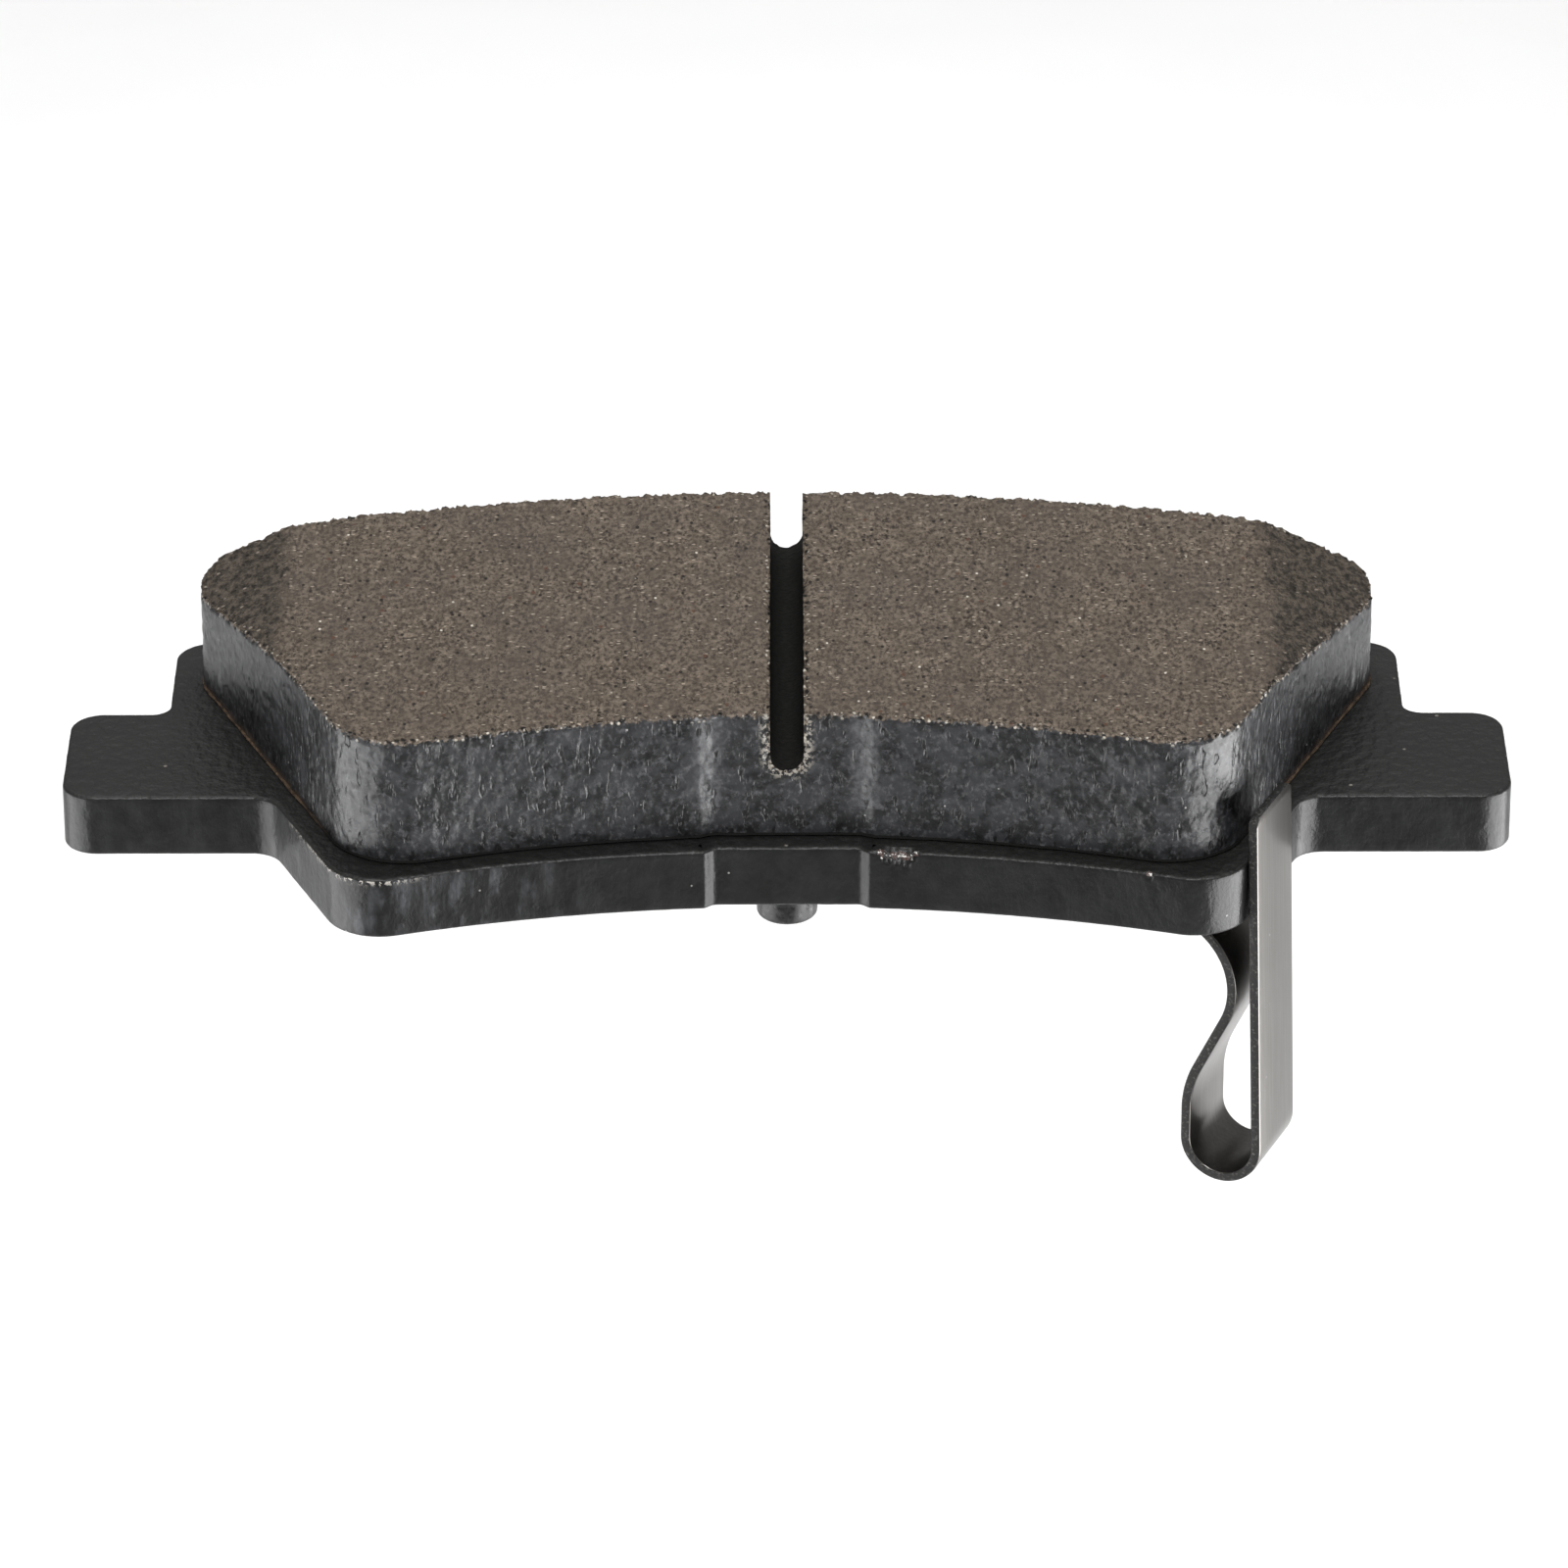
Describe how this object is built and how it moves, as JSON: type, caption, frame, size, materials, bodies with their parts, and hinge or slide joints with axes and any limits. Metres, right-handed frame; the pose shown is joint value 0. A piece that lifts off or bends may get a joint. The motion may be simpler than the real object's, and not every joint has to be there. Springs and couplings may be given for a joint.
{
  "type": "disc brake pad",
  "caption": "Eared disc brake pad with a slotted, chamfered lining, a locating pin on the back and a sprung wear indicator strip.",
  "frame": {"origin": "on the locating pin's axis, at the back face of the backing plate", "axes": "+Z out of the back face towards the disc, +X towards the ear with the wear indicator, +Y away from the wheel's centre"},
  "size_m": [0.1, 0.0422, 0.0346],
  "materials": {
    "plate_paint": "black satin paint with a fine orange peel",
    "bond_resin": "matt brown resin",
    "underlayer_compound": "matt moulded compound",
    "lining": "ground, grainy brown-grey with painted dark sides",
    "spring_steel": "satin dark grey",
    "rivet_steel": "satin"
  },
  "bodies": {
    "root": {"backing_plate": "plate_paint", "bond_layer": "bond_resin", "underlayer": "underlayer_compound", "friction_block": "lining", "locating_pin": "plate_paint", "wear_sensor_foot": "spring_steel", "sensor_rivet": "rivet_steel"},
    "indicator_leg": {"wear_sensor_leg": "spring_steel"}
  },
  "joints": [
    {"name": "indicator_flex", "type": "hinge", "parent": "root", "child": "indicator_leg", "pos_m": [0.03116, -0.00331, -0.0178], "axis": [0.4027, 0.9153, 0], "range_deg": [0, 6], "stiffness_Nm_per_rad": 1.2}
  ]
}
